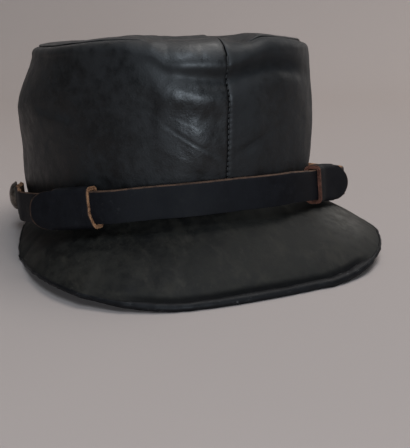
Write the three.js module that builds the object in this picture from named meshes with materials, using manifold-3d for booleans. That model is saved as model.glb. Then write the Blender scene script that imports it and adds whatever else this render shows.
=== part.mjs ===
// A leather kepi cap with a short steep visor and a two-part sliding chin strap across its front.
// It is modelled as worn, in mm: +Z up, the visor towards -Y, the oval rim of the crown round the
// origin. At the end the whole cap is turned and lowered so that it stands on the visor's front
// edge and the back of its rim. Left and right are the wearer's, so left is +X.
import * as THREE from 'three';
import { mergeVertices } from 'three/addons/utils/BufferGeometryUtils.js';
import Module from 'manifold-3d';

const wasm = await Module();
wasm.setup();

// Crown: the outside of its lower rim and of its top, and how it stands between them.
const rimHalfWidth = 80;
const rimHalfDepth = 101.6;
const topHalfWidth = 77;
const topHalfDepth = 96.8;
const topForward = 21; // the top's centre lies this far in front of the rim's
const crownHeight = 95.5; // at the middle of the top
const crownRake = 0.11; // rise of the top for each mm towards the back
const crownSwell = 5.2; // how far the side stands out half way up
const ovalPower = 2.08; // 2 is an ellipse, more is squarer
const crownWall = 1.8;
const shoulderRadius = 7;
const lipWidth = 7; // the side's leather turned in under the top
const seamRoll = 0.8; // how far each panel's edge rolls in at the two upright seams
const seamRollWidth = 3.5;
const dentDepth = 2.4;
const rimWave = 1.6;

// Top panel.
const topWall = 1.8;
const topEdgeInset = 6.4; // from the outside of the shoulder
const topEdgeHeight = 2.4; // the turned edge that stands round the top
const topSink = 3; // how far the middle lies below the edge

// Visor, measured from the middle of the rim.
const visorHalfWidthLeft = 93.4; // the visor is bent a little squarer on this side
const visorHalfWidthRight = 95.8;
const visorPowerLeft = 3.1;
const visorPowerRight = 2.8;
const visorMiddle = 43.5; // where it is widest, in front of the rim's centre
const visorReach = 142; // to its front edge
const visorEnd = 15; // its ends lie this far behind the rim's centre
const visorFrontDrop = 32.2;
const visorSideDropLeft = 14;
const visorSideDropRight = 17.6;
const visorWall = 2;
const visorRoot = 0.8; // the ledge under the rim before the visor slopes down
const visorFlange = 9; // turned up behind the crown's side, where it is sewn
const visorArch = 3.2; // how far it bows up between root and edge
const visorSettle = 0.8; // how far its front edge is flattened where it rests
const visorClear = 7; // degrees between its ends and the buttons
const visorBow = 0.55; // how round its edge comes back to the crown, 0 is straight
const visorRise = 1.25; // how late that stretch of its edge rises to the rim, 1 is evenly

// Binding round the visor's edge.
const bindingWall = 0.9;
const bindingTop = 3.4;
const bindingUnder = 4.6;
const bindingRound = 0.4; // its round edge is centred this far inside the visor's
const bindingEnd = 0.9; // the share of the visor's edge that it covers

// Chin strap in two halves, two slides and two side buttons.
const strapWidth = 16;
const strapWall = 2.2;
const strapHeight = 12.2; // its middle line over the rim
const strapTail = 9; // past the button
const strapShort = 4; // each free end stops this far inside the slide that hides it
const buttonAround = 98; // degrees from the front
const slideWall = 2;
const slideSleeve = 20;
const slideLength = 33;
const slideCorner = 2.8; // radius of the sleeve's outer corners
const tabInset = 0.1; // of the tab's faces from the faces of the sleeve that it goes on from
const slideStartLeft = 60; // along the strap from the front seam to the slide's inner end
const slideStartRight = 69.5;
const buttonRadius = 8.8;
const buttonDome = 4.2;
const buttonBack = 1.2;
const buttonLift = 1.4; // its shank holds it this far off the strap, which bows out beside it
const shankRadius = 1.7;
const footRadius = 3.6;
const footWall = 1.2;
const footSeat = 1.4; // between the foot's middle and the crown, whose side slopes there

const gap = 0.3; // between pieces that touch
const flangeGap = 0.6; // between the crown's side and the visor's flange behind it
const slideGap = 0.35; // round the two straps inside a slide
const shankGap = 0.3;
const restPress = 0.5; // how far the lowest edges are pressed flat by the cap's own weight

// Dents (depth below 0) and swells of the crown. around and wide are degrees, up and tall are
// shares of its height, slant is degrees from level, and depth is a share of dentDepth.
const dents = [
  { around: -9, up: 0.96, wide: 15, tall: 0.045, slant: -5, depth: -0.7 },
  { around: 15, up: 0.9, wide: 18, tall: 0.05, slant: -8, depth: -0.8 },
  { around: -12, up: 0.84, wide: 15, tall: 0.06, slant: 0, depth: 0.5 },
  { around: -11, up: 0.53, wide: 11, tall: 0.045, slant: -35, depth: -0.5 },
  { around: -8, up: 0.4, wide: 8, tall: 0.08, slant: 0, depth: 0.4 },
  { around: 9, up: 0.62, wide: 5, tall: 0.26, slant: 0, depth: 0.45 },
  { around: 9, up: 0.46, wide: 6, tall: 0.035, slant: 20, depth: -0.35 },
  { around: -62, up: 0.6, wide: 20, tall: 0.3, slant: 0, depth: -0.35 },
  { around: 128, up: 0.5, wide: 22, tall: 0.22, slant: 10, depth: -0.7 },
  { around: -150, up: 0.42, wide: 18, tall: 0.2, slant: -15, depth: -0.6 },
];
// The top edge's rise and fall, as shares of rimWave, at degrees round from the front.
const rimWaves = [
  { around: -150, rise: 0.2 },
  { around: -78, rise: -0.2 },
  { around: -44, rise: 1 },
  { around: -10, rise: 0.4 },
  { around: 20, rise: 1.3 },
  { around: 62, rise: -1.3 },
  { around: 120, rise: 0.2 },
];
// How far the strap's middle line stands off the crown, in wall thicknesses of the strap, and how
// far it hangs below its height in front, as a share of its width. It has slipped to the left.
const strapStand = [
  { around: -buttonAround - 8, off: 1.6, hang: 0.08 },
  { around: -buttonAround, off: 1.7, hang: 0.1 },
  { around: -86, off: 3.8, hang: 0.12 },
  { around: -72, off: 6.2, hang: 0.14 },
  { around: -58, off: 7.2, hang: 0.11 },
  { around: -40, off: 4.8, hang: 0.06 },
  { around: -20, off: 2.4, hang: 0.01 },
  { around: 0, off: 1.88, hang: 0 },
  { around: 20, off: 2.5, hang: 0.04 },
  { around: 40, off: 3.2, hang: 0.16 },
  { around: 58, off: 8.2, hang: 0.3 },
  { around: 72, off: 6.2, hang: 0.36 },
  { around: 86, off: 4.4, hang: 0.34 },
  { around: buttonAround, off: 1.7, hang: 0.3 },
  { around: buttonAround + 8, off: 1.6, hang: 0.28 },
];

// A strap's rounded end: how wide it is, as a share, at shares of strapWidth before its tip.
const strapEnd = [
  { before: 0, width: 0.42 },
  { before: 0.05, width: 0.64 },
  { before: 0.15, width: 0.85 },
  { before: 0.31, width: 1 },
  { before: 0.56, width: 1 },
];
// A slide's tab: its height, as a share of the sleeve's, at shares of its length past the sleeve.
const slideTab = [
  { past: -0.2, height: 0.94 },
  { past: 0, height: 0.94 },
  { past: 0.3, height: 0.91 },
  { past: 0.56, height: 0.82 },
  { past: 0.78, height: 0.64 },
  { past: 0.93, height: 0.4 },
  { past: 1, height: 0.18 },
];

const mix = THREE.MathUtils.lerp;
const radians = THREE.MathUtils.degToRad;
const span = (from, to, steps) => Array.from({ length: steps + 1 }, (_, i) => mix(from, to, i / steps));

// A closed geometry from points and triangles, turned so that its faces point out.
function closedGeometry(points, triangles) {
  let volume = 0;
  for (const [a, b, c] of triangles) {
    volume += points[a].dot(points[b].clone().cross(points[c]));
  }
  const index = triangles.flatMap(([a, b, c]) => (volume > 0 ? [a, b, c] : [a, c, b]));
  const geometry = new THREE.BufferGeometry().setFromPoints(points);
  geometry.setIndex(index);
  return geometry;
}

// A sheet of even thickness: pointAt gives its outer face, and the sheet lies behind that face
// as seen with u to the right and v up. With closed, the last u meets the first.
function leatherSheet(pointAt, us, vs, thickness, closed = false) {
  const stepU = Math.sign(us[1] - us[0]) * 1e-3;
  const stepV = Math.sign(vs[1] - vs[0]) * 1e-3;
  const points = [];
  for (const depth of [0, thickness]) {
    for (const u of us) {
      for (const v of vs) {
        const alongU = pointAt(u + stepU, v).sub(pointAt(u - stepU, v));
        const alongV = pointAt(u, v + stepV).sub(pointAt(u, v - stepV));
        const normal = alongU.cross(alongV).normalize();
        points.push(pointAt(u, v).addScaledVector(normal, -depth));
      }
    }
  }
  const rows = vs.length;
  const sheet = us.length * rows;
  const outer = (i, j) => (i % us.length) * rows + j;
  const inner = (i, j) => sheet + outer(i, j);
  const triangles = [];
  const quad = (a, b, c, d) => triangles.push([a, b, c], [a, c, d]);
  const columns = closed ? us.length : us.length - 1;
  for (let i = 0; i < columns; i++) {
    for (let j = 0; j < rows - 1; j++) {
      quad(outer(i, j), outer(i + 1, j), outer(i + 1, j + 1), outer(i, j + 1));
      quad(inner(i, j), inner(i, j + 1), inner(i + 1, j + 1), inner(i + 1, j));
    }
    quad(outer(i, 0), inner(i, 0), inner(i + 1, 0), outer(i + 1, 0));
    quad(outer(i, rows - 1), outer(i + 1, rows - 1), inner(i + 1, rows - 1), inner(i, rows - 1));
  }
  if (!closed) {
    for (let j = 0; j < rows - 1; j++) {
      quad(outer(0, j), outer(0, j + 1), inner(0, j + 1), inner(0, j));
      quad(outer(columns, j), inner(columns, j), inner(columns, j + 1), outer(columns, j + 1));
    }
  }
  return closedGeometry(points, triangles);
}

// A solid from rings of as many points each, closed by one point at either end.
function ringedSolid(firstPoint, rings, lastPoint) {
  const count = rings[0].length;
  const points = [firstPoint, ...rings.flat(), lastPoint];
  const at = (ring, i) => 1 + ring * count + (i % count);
  const triangles = [];
  for (let i = 0; i < count; i++) {
    triangles.push([0, at(0, i), at(0, i + 1)]);
    for (let ring = 0; ring < rings.length - 1; ring++) {
      triangles.push([at(ring, i), at(ring + 1, i), at(ring + 1, i + 1)]);
      triangles.push([at(ring, i), at(ring + 1, i + 1), at(ring, i + 1)]);
    }
    triangles.push([points.length - 1, at(rings.length - 1, i + 1), at(rings.length - 1, i)]);
  }
  return closedGeometry(points, triangles);
}

function toSolid(geometry) {
  const bare = geometry.clone();
  bare.deleteAttribute('normal');
  bare.deleteAttribute('uv');
  const merged = mergeVertices(bare, 1e-4);
  const corners = merged.index.array;
  const triangles = [];
  for (let i = 0; i < corners.length; i += 3) {
    const [a, b, c] = corners.slice(i, i + 3);
    if (a !== b && b !== c && c !== a) triangles.push(a, b, c);
  }
  return new wasm.Manifold(new wasm.Mesh({
    numProp: 3,
    vertProperties: merged.attributes.position.array,
    triVerts: new Uint32Array(triangles),
  }));
}

function toGeometry(solid) {
  const mesh = solid.getMesh();
  const geometry = new THREE.BufferGeometry();
  geometry.setAttribute('position', new THREE.BufferAttribute(mesh.vertProperties, 3));
  geometry.setIndex(new THREE.BufferAttribute(mesh.triVerts, 1));
  return geometry;
}

// The value of a table's column at some degrees round, eased between its rows.
function tableAt(table, column, degrees) {
  const next = table.findIndex((row) => row.around >= degrees);
  if (next < 0) return table.at(-1)[column];
  if (next === 0) return table[0][column];
  const [low, high] = [table[next - 1], table[next]];
  const share = THREE.MathUtils.smoothstep(degrees, low.around, high.around);
  return mix(low[column], high[column], share);
}

// A point of a plan oval and the direction out of it there. around is in degrees from the
// front, positive towards +X.
function ovalAt(halfWidth, halfDepth, around, power = ovalPower) {
  const sine = Math.sin(radians(around));
  const cosine = Math.cos(radians(around));
  const across = Math.sign(sine) * Math.abs(sine) ** (2 / power);
  const ahead = Math.sign(cosine) * Math.abs(cosine) ** (2 / power);
  return {
    x: halfWidth * across,
    y: -halfDepth * ahead,
    out: new THREE.Vector3(halfDepth * sine, -halfWidth * cosine, 0).normalize(),
  };
}

function dentAt(around, up) {
  let push = 0;
  for (const dent of dents) {
    const across = (around - dent.around) * radians(rimHalfDepth);
    const rise = (up - dent.up) * crownHeight;
    const slant = radians(dent.slant);
    const far = (across * Math.cos(slant) + rise * Math.sin(slant)) / (dent.wide * radians(rimHalfDepth));
    const near = (rise * Math.cos(slant) - across * Math.sin(slant)) / (dent.tall * crownHeight);
    push += dent.depth * Math.exp(-(far ** 2) - near ** 2);
  }
  return push * dentDepth * THREE.MathUtils.smoothstep(up, 0.05, 0.3);
}

function topHeight(around, y) {
  return crownHeight + crownRake * y + rimWave * tableAt(rimWaves, 'rise', around);
}

// The outside of the crown. v runs up the side from 0 to 1, round the shoulder from 1 to 2 and
// in along the lip from 2 to 3. inset moves the point in from there.
function crownOutside(around, v, inset = 0) {
  const up = Math.min(v, 1);
  const turn = (THREE.MathUtils.clamp(v - 1, 0, 1) * Math.PI) / 2;
  const swell = crownSwell * 4 * up * (1 - up);
  const lean = up ** 2;
  const halfWidth = mix(rimHalfWidth, topHalfWidth, lean) + swell;
  const halfDepth = mix(rimHalfDepth, topHalfDepth, lean) + swell;
  const plan = ovalAt(halfWidth, halfDepth, around);
  const toSeam = Math.min(Math.abs(around), 180 - Math.abs(around)) / seamTurn;
  const roll = seamRoll * Math.max(0, 1 - toSeam) ** 2 * THREE.MathUtils.smoothstep(up, 0, 0.2);
  const inwards = shoulderRadius * (1 - Math.cos(turn)) + Math.max(v - 2, 0) * lipWidth;
  const push = dentAt(around, up) - roll - inwards - inset;
  const point = new THREE.Vector3(plan.x, plan.y - topForward * lean, 0).addScaledVector(plan.out, push);
  const wall = up * (topHeight(around, point.y) - shoulderRadius);
  point.z = wall + shoulderRadius * Math.sin(turn);
  return point;
}

const seamTurn = seamRollWidth / radians(rimHalfDepth); // degrees that a rolled-in edge takes up

const sideRows = [0, 0.1, 0.2, 0.3, 0.38, 0.46, 0.54, 0.62, 0.7, 0.76, 0.83, 0.9, 0.96, 1];
const shoulderRows = [1.35, 1.7, 2, 3];

// Half of the crown's side, from the front seam round to the back seam, with its button's hole.
function crownPanel(side) {
  const halfGap = gap / 2 / radians(rimHalfDepth);
  const seam = [halfGap, seamTurn, seamTurn * 2.5];
  const columns = [...seam, ...span(12, 168, 20), ...seam.map((turn) => 180 - turn).reverse()];
  const us = columns.map((column) => side * column);
  if (side < 0) us.reverse();
  const sheet = leatherSheet(crownOutside, us, [...sideRows, ...shoulderRows], crownWall);
  return toGeometry(toSolid(sheet).subtract(toSolid(shankHole(side))));
}

// The top panel lies on the turned-in lip, with a turned edge standing round it.
function topPanel() {
  const rows = [
    { share: 0.3, over: topWall - topSink },
    { share: 0.6, over: topWall - topSink * 0.8 },
    { share: 0.78, over: topWall - topSink * 0.3 },
    { share: 0.95, over: topEdgeHeight * 0.75 },
    { share: 0.98, over: topEdgeHeight },
    { share: 1, over: topEdgeHeight * 0.6 },
    { share: 1, over: topEdgeHeight * 0.15 },
    { share: 0.985, over: 0 },
    { share: 0.85, over: 0 },
    { share: 0.78, over: -topSink * 0.3 },
    { share: 0.6, over: -topSink * 0.8 },
    { share: 0.3, over: -topSink },
  ];
  const arounds = span(-180, 180, 44).slice(1);
  const centre = new THREE.Vector3(0, -topForward, topHeight(0, -topForward));
  const point = ({ share, over }, around) => {
    const edge = crownOutside(around, 1, topEdgeInset);
    edge.z += shoulderRadius;
    return centre.clone().lerp(edge, share).add(new THREE.Vector3(0, 0, over + gap));
  };
  const rings = rows.map((row) => arounds.map((around) => point(row, around)));
  const middle = (over) => centre.clone().add(new THREE.Vector3(0, 0, over + gap));
  return ringedSolid(middle(-topSink + topWall), rings, middle(-topSink));
}

// The visor's edge: a squarish oval in front of its widest place, and behind that an ellipse
// that brings it back to the crown's side. along runs from -1 at the right end to 1.
const visorTurn = buttonAround - visorClear; // degrees from the front to its ends
const edgeTurn = 0.72; // the share of each half that lies in front of the widest place
const restSlope = (visorFrontDrop - visorSettle + bindingUnder / 2) / (visorReach + rimHalfDepth);

function visorEdge(along) {
  const side = along < 0 ? -1 : 1;
  const half = Math.abs(along);
  const halfWidth = side > 0 ? visorHalfWidthLeft : visorHalfWidthRight;
  const power = side > 0 ? visorPowerLeft : visorPowerRight;
  const sideDrop = side > 0 ? visorSideDropLeft : visorSideDropRight;
  if (half <= edgeTurn) {
    const quarter = (half / edgeTurn) * 90;
    const plan = ovalAt(halfWidth, visorReach - visorMiddle, side * quarter, power);
    const front = Math.cos(radians(quarter)) ** 2;
    const drop = mix(sideDrop, visorFrontDrop, front);
    const y = plan.y - visorMiddle;
    const rested = visorFrontDrop - visorSettle - restSlope * (y + visorReach);
    return new THREE.Vector3(plan.x, y, -Math.min(drop, rested));
  }
  const back = (half - edgeTurn) / (1 - edgeTurn);
  const run = visorMiddle + visorEnd;
  const end = crownOutside(visorTurn, 0);
  const straight = Math.sqrt(1 - visorBow ** 2);
  const bow = (Math.sqrt(1 - (back * visorBow) ** 2) - straight) / (1 - straight);
  const reach = mix(end.x + visorRoot + gap, halfWidth, bow);
  const drop = sideDrop * (1 - back ** visorRise) + gap;
  return new THREE.Vector3(side * reach, -visorMiddle + run * back, -drop);
}

// Where the visor leaves the rim, and the same place's direction out.
function visorRootAt(along) {
  const plan = ovalAt(rimHalfWidth, rimHalfDepth, along * visorTurn);
  return { point: new THREE.Vector3(plan.x, plan.y, 0), out: plan.out };
}

// The visor's upper face. v runs down the flange from 0 to 1, out along the ledge to 2 and out
// to the edge at 3.
function visorFace(along, v) {
  const root = visorRootAt(along);
  const behind = -(crownWall + flangeGap);
  const ledge = root.point.clone().addScaledVector(root.out, visorRoot);
  ledge.z = -gap * 1.5;
  if (v <= 1) {
    const flange = root.point.clone().addScaledVector(root.out, behind);
    flange.z = mix(visorFlange, -gap, v);
    return flange;
  }
  if (v <= 2) {
    const corner = root.point.clone().addScaledVector(root.out, behind);
    corner.z = -gap;
    return corner.lerp(ledge, v - 1);
  }
  const share = v - 2;
  const edge = visorEdge(along);
  const face = ledge.clone().lerp(edge, share);
  const length = Math.min(ledge.distanceTo(edge) / (visorReach - rimHalfDepth), 1);
  face.z += visorArch * length * 4 * share * (1 - share);
  return face;
}

const visorColumns = span(1, -1, 40);

function visor() {
  const vs = [0, 0.7, 1, 1.5, 2, 2.12, 2.3, 2.5, 2.7, 2.88, 3];
  return leatherSheet(visorFace, visorColumns, vs, visorWall);
}

// The binding hugs the visor's edge: over its upper face, round it and back under.
function visorBinding() {
  const radius = visorWall / 2 + gap + bindingWall;
  const rows = [
    { inwards: bindingTop, turn: 0 },
    { inwards: bindingRound, turn: 0 },
    { inwards: bindingRound, turn: 60 },
    { inwards: bindingRound, turn: 110 },
    { inwards: bindingRound, turn: 152 },
    { inwards: bindingRound, turn: 180 },
    { inwards: bindingUnder, turn: 180 },
  ];
  const pointAt = (along, v) => {
    const low = rows[THREE.MathUtils.clamp(Math.floor(v), 0, rows.length - 2)];
    const high = rows[rows.indexOf(low) + 1];
    const share = v - rows.indexOf(low);
    const turn = radians(mix(low.turn, high.turn, share));
    const edge = visorEdge(along);
    const forward = visorEdge(along - 1e-3).sub(visorEdge(along + 1e-3)).normalize();
    const inward = visorFace(along, 2.9).sub(edge).normalize();
    const up = inward.clone().cross(forward).normalize();
    if (up.z < 0) up.negate();
    const out = forward.clone().cross(up).normalize();
    if (out.dot(inward) > 0) out.negate();
    return edge
      .addScaledVector(up, -visorWall / 2 + radius * Math.cos(turn))
      .addScaledVector(out, -mix(low.inwards, high.inwards, share) + radius * Math.sin(turn));
  };
  const vs = rows.map((_, i) => i);
  const covered = visorColumns.filter((along) => Math.abs(along) < bindingEnd);
  return leatherSheet(pointAt, [bindingEnd, ...covered, -bindingEnd], vs, bindingWall);
}

// The chin strap's line round the front, level, from the right button to the left one.
function strapLine() {
  const ends = buttonAround + 8;
  const points = span(-ends, ends, 24).map((around) => {
    const crown = crownOutside(around, (strapHeight + strapWidth / 2) / crownHeight);
    const off = tableAt(strapStand, 'off', around) * strapWall;
    const hang = tableAt(strapStand, 'hang', around) * strapWidth;
    const { out } = ovalAt(rimHalfWidth, rimHalfDepth, around);
    return new THREE.Vector3(crown.x, crown.y, strapHeight - hang).addScaledVector(out, off);
  });
  return new THREE.CatmullRomCurve3(points);
}
const strapCurve = strapLine();
const strapLength = strapCurve.getLength();

// A point of the strap: along from the front seam, out from its middle line and up.
function strapPoint(along, out, up) {
  const share = THREE.MathUtils.clamp(0.5 + along / strapLength, 0.001, 0.999);
  const point = strapCurve.getPointAt(share);
  const tangent = strapCurve.getTangentAt(share);
  const normal = new THREE.Vector3(tangent.y, -tangent.x, 0).normalize();
  return point.addScaledVector(normal, out).add(new THREE.Vector3(0, 0, up));
}

// How far along the strap the button sits.
function buttonAlong() {
  const spot = crownOutside(buttonAround, 0);
  const alongs = span(strapLength * 0.35, strapLength * 0.499, 200);
  const distance = (along) => Math.abs(strapPoint(along, 0, 0).y - spot.y);
  return alongs.reduce((best, along) => (distance(along) < distance(best) ? along : best));
}
const buttonPlace = buttonAlong();

// The button's place and direction on one side.
function buttonSeat(side) {
  const place = strapPoint(side * buttonPlace, 0, 0);
  const ahead = strapPoint(side * (buttonPlace + 1), 0, 0).sub(place).normalize();
  const out = new THREE.Vector3(side * ahead.y, -side * ahead.x, 0).normalize();
  return { place, out };
}

function alignedTo(geometry, { place, out }) {
  geometry.applyQuaternion(new THREE.Quaternion().setFromUnitVectors(new THREE.Vector3(0, 1, 0), out));
  return geometry.translate(place.x, place.y, place.z);
}

function shankHole(side) {
  const radius = shankRadius + shankGap;
  const hole = new THREE.CylinderGeometry(radius, radius, buttonRadius * 4, 16);
  return alignedTo(hole, buttonSeat(side));
}

const slideStart = (side) => (side > 0 ? slideStartLeft : slideStartRight);

// One half of the strap. layer is 1 for the half that lies outside and -1 for the inner one.
// anchorSide is the side of its button, and its free end lies under the other side's slide.
function strap(layer, anchorSide) {
  const half = strapWidth / 2;
  const tail = buttonPlace + strapTail;
  const free = slideStart(-anchorSide) + slideLength - strapShort;
  const full = strapEnd.at(-1).before * strapWidth;
  const rows = [
    ...strapEnd.map(({ before, width }) => ({ along: -tail + before * strapWidth, width })),
    ...span(-tail + full, free - full, 44).slice(1, -1).map((along) => ({ along, width: 1 })),
    ...strapEnd.map(({ before, width }) => ({ along: free - before * strapWidth, width })).reverse(),
  ];
  const face = (layer > 0 ? 1 : 0) * strapWall + (layer * gap) / 2;
  const widthAt = (along) => {
    const next = rows.findIndex((row) => row.along >= along - 1e-9);
    const high = rows[Math.max(next, 1)] ?? rows.at(-1);
    const low = rows[Math.max(rows.indexOf(high) - 1, 0)];
    const share = THREE.MathUtils.clamp((along - low.along) / (high.along - low.along), 0, 1);
    return mix(low.width, high.width, share);
  };
  const pointAt = (up, along) => strapPoint(-anchorSide * along, face, up * half * widthAt(along));
  const ups = anchorSide < 0 ? [1, 0.9, -0.9, -1] : [-1, -0.9, 0.9, 1];
  const alongs = rows.map((row) => row.along);
  const sheet = leatherSheet(pointAt, ups, alongs, strapWall);
  return toGeometry(toSolid(sheet).subtract(toSolid(shankHole(anchorSide))));
}

// A slide: a sleeve folded round both straps, whose front goes on past it as a rounded tab.
function slide(side) {
  const halfHeight = strapWidth / 2 + slideGap + slideWall;
  const halfDepth = gap / 2 + strapWall + slideGap + slideWall;
  const turns = span(0, 360, 16).slice(1);
  const sleeveAt = (turn, along) => {
    const cosine = Math.cos(radians(turn));
    const sine = Math.sin(radians(turn));
    const out = Math.sign(cosine) * (halfDepth - slideCorner) + slideCorner * cosine;
    const up = Math.sign(sine) * (halfHeight - slideCorner) + slideCorner * sine;
    const flat = (value) => (Math.abs(value) < 1e-6 ? 0 : 1);
    return strapPoint(side * along, out * flat(cosine), up * flat(sine));
  };
  const start = slideStart(side);
  const sleeveRows = span(start, start + slideSleeve, 6);
  const us = side > 0 ? turns.slice().reverse() : turns;
  const sleeve = leatherSheet(sleeveAt, us, sleeveRows, slideWall, true);
  const tabRows = slideTab.map(({ past, height }) => ({
    along: mix(slideSleeve, slideLength, past),
    up: halfHeight * height,
  }));
  // The tab is stiff: past the sleeve it goes straight on instead of round with the strap.
  const tabPoint = (along, out, up) => {
    const bent = Math.min(along, slideSleeve);
    const point = strapPoint(side * (start + bent), out, up);
    const before = strapPoint(side * (start + bent - 1), out, up);
    return point.clone().addScaledVector(point.clone().sub(before), along - bent);
  };
  const rings = tabRows.map(({ along, up }) => {
    const [near, far] = [halfDepth - slideWall + tabInset, halfDepth - tabInset];
    const corners = [[near, -up], [near, up], [far, up], [far, -up]];
    return corners.map(([out, rise]) => tabPoint(along, out, rise));
  });
  const middle = (row) => tabPoint(row.along, halfDepth - slideWall / 2, 0);
  const tab = ringedSolid(middle(tabRows[0]), rings, middle(tabRows.at(-1)));
  return toGeometry(toSolid(sleeve).add(toSolid(tab)));
}

// A domed button on a shank that goes through the strap's end and the crown to a round foot.
function button(side) {
  const layer = side > 0 ? 1 : -1;
  const strapFace = (layer > 0 ? 1 : 0) * strapWall + (layer * gap) / 2;
  const seat = buttonSeat(side);
  const crown = crownOutside(side * buttonAround, seat.place.z / crownHeight);
  const toCrown = crown.sub(seat.place).dot(seat.out);
  const backFace = strapFace + buttonLift;
  const footFace = toCrown - crownWall - footSeat;
  const profile = [
    [0, footFace - footWall],
    [footRadius, footFace - footWall],
    [footRadius, footFace],
    [shankRadius, footFace],
    [shankRadius, backFace],
    [buttonRadius * 0.9, backFace],
    [buttonRadius, backFace + buttonBack * 0.4],
    [buttonRadius, backFace + buttonBack],
    [buttonRadius * 0.88, backFace + buttonBack + buttonDome * 0.42],
    [buttonRadius * 0.62, backFace + buttonBack + buttonDome * 0.78],
    [buttonRadius * 0.3, backFace + buttonBack + buttonDome * 0.96],
    [0, backFace + buttonBack + buttonDome],
  ];
  const lathe = new THREE.LatheGeometry(profile.map(([r, y]) => new THREE.Vector2(r, y)), 20);
  return toGeometry(toSolid(alignedTo(lathe, seat)));
}

const leather = (name, color, roughness) => new THREE.MeshStandardMaterial({ name, color, roughness });
const crownLeather = leather('crown_leather', 0x1e1d1e, 0.42);
const visorLeather = leather('visor_leather', 0x26261f, 0.5);
const bindingLeather = leather('binding_leather', 0x202022, 0.4);
const strapLeather = leather('strap_leather', 0x1b1b22, 0.5);
const buttonMetal = new THREE.MeshStandardMaterial({
  name: 'button_metal', color: 0x5c574f, roughness: 0.45, metalness: 1,
});

const pieces = [
  ['crown_panel_left', crownPanel(1), crownLeather],
  ['crown_panel_right', crownPanel(-1), crownLeather],
  ['crown_top', topPanel(), crownLeather],
  ['visor', visor(), visorLeather],
  ['visor_binding', visorBinding(), bindingLeather],
  ['strap_outer', strap(1, 1), strapLeather],
  ['strap_inner', strap(-1, -1), strapLeather],
  ['slide_left', slide(1), strapLeather],
  ['slide_right', slide(-1), strapLeather],
  ['button_left', button(1), buttonMetal],
  ['button_right', button(-1), buttonMetal],
];

// The lowest corner of the front or the back half once the cap is tipped back by some angle.
function lowest(geometries, tilt, side) {
  let low = Infinity;
  for (const geometry of geometries) {
    const spots = geometry.attributes.position;
    for (let i = 0; i < spots.count; i++) {
      const [y, z] = [spots.getY(i), spots.getZ(i)];
      if (y * side > 0) low = Math.min(low, z * Math.cos(tilt) - y * Math.sin(tilt));
    }
  }
  return low;
}

// The angle at which the visor's front edge and the back of the rim touch the same floor.
function restingTilt(geometries) {
  let [low, high] = [0, Math.PI / 6];
  for (let i = 0; i < 40; i++) {
    const middle = (low + high) / 2;
    if (lowest(geometries, middle, -1) < lowest(geometries, middle, 1)) low = middle;
    else high = middle;
  }
  return (low + high) / 2;
}

// The leather that would reach through the floor is pressed flat on it.
function pressOnFloor(geometry, tilt, floor) {
  const spots = geometry.attributes.position;
  for (let i = 0; i < spots.count; i++) {
    const [y, z] = [spots.getY(i), spots.getZ(i)];
    const sunk = floor - (z * Math.cos(tilt) - y * Math.sin(tilt));
    if (sunk <= 0) continue;
    spots.setY(i, y - sunk * Math.sin(tilt));
    spots.setZ(i, z + sunk * Math.cos(tilt));
  }
}

const geometries = pieces.map(([, geometry]) => geometry);
const tilt = restingTilt(geometries);
const floor = lowest(geometries, tilt, 1) + restPress;

const cap = new THREE.Group();
for (const [name, geometry, material] of pieces) {
  pressOnFloor(geometry, tilt, floor);
  geometry.computeVertexNormals();
  const mesh = new THREE.Mesh(geometry, material);
  mesh.name = name;
  cap.add(mesh);
}

// The cap stands on the floor, with the middle of its outline over the origin.
cap.rotation.x = -tilt;
cap.updateMatrixWorld(true);
const bounds = new THREE.Box3().setFromObject(cap, true);
const middle = bounds.getCenter(new THREE.Vector3());
cap.position.set(-middle.x, -middle.y, -floor);
const group = new THREE.Group();
group.add(cap);

export default group;
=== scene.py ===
import math

import bpy
from mathutils import Euler, Matrix, Vector, noise


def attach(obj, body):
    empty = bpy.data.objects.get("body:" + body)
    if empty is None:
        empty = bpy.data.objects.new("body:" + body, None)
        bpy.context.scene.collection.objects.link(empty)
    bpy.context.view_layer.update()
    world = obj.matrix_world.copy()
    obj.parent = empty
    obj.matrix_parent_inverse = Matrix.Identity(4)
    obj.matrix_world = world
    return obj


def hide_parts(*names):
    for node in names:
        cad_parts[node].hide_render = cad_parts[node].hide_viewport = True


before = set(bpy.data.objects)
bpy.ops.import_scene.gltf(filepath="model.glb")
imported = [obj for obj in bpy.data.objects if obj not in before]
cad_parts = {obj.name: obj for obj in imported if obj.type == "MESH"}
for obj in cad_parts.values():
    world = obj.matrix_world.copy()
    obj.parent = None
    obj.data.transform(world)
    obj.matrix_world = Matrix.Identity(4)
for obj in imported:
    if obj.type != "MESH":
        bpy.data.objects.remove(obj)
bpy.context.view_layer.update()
print("frame loaded, nodes:", len(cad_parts))

# The view of the photograph. Its frame is 410 x 448, and the lens goes with the longer side.
view = {
    "place": (-0.1346, -0.4074, 0.1297),
    "turn": (73.416, 1.339, -21.134),
    "lens": 59.0,
}
cameraData = bpy.data.cameras.new("camera")
cameraData.lens = view["lens"]
cameraData.sensor_width = 36
camera = bpy.data.objects.new("camera", cameraData)
camera.location = view["place"]
camera.rotation_euler = Euler([math.radians(angle) for angle in view["turn"]])
bpy.context.collection.objects.link(camera)
bpy.context.scene.camera = camera

# The cap is shaped in millimetres as it is worn, round the middle of its rim, with the visor
# towards -Y and the wearer's left at +X. Then it is laid down: tipped back until the visor's
# front edge and the back of the rim stand on the floor.
laid = {"tilt": 7.980, "aside": 0.566, "forward": 19.609, "up": 13.604}
floorGap = 0.00002
gap = 0.3  # between pieces that touch
tiltSine = math.sin(math.radians(laid["tilt"]))
tiltCosine = math.cos(math.radians(laid["tilt"]))


def laidDown(p):
    y = p.y * tiltCosine + p.z * tiltSine + laid["forward"]
    z = -p.y * tiltSine + p.z * tiltCosine + laid["up"]
    return Vector(((p.x + laid["aside"]) / 1000, y / 1000, max(z / 1000, floorGap)))


def mix(low, high, share):
    return low + (high - low) * share


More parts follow.
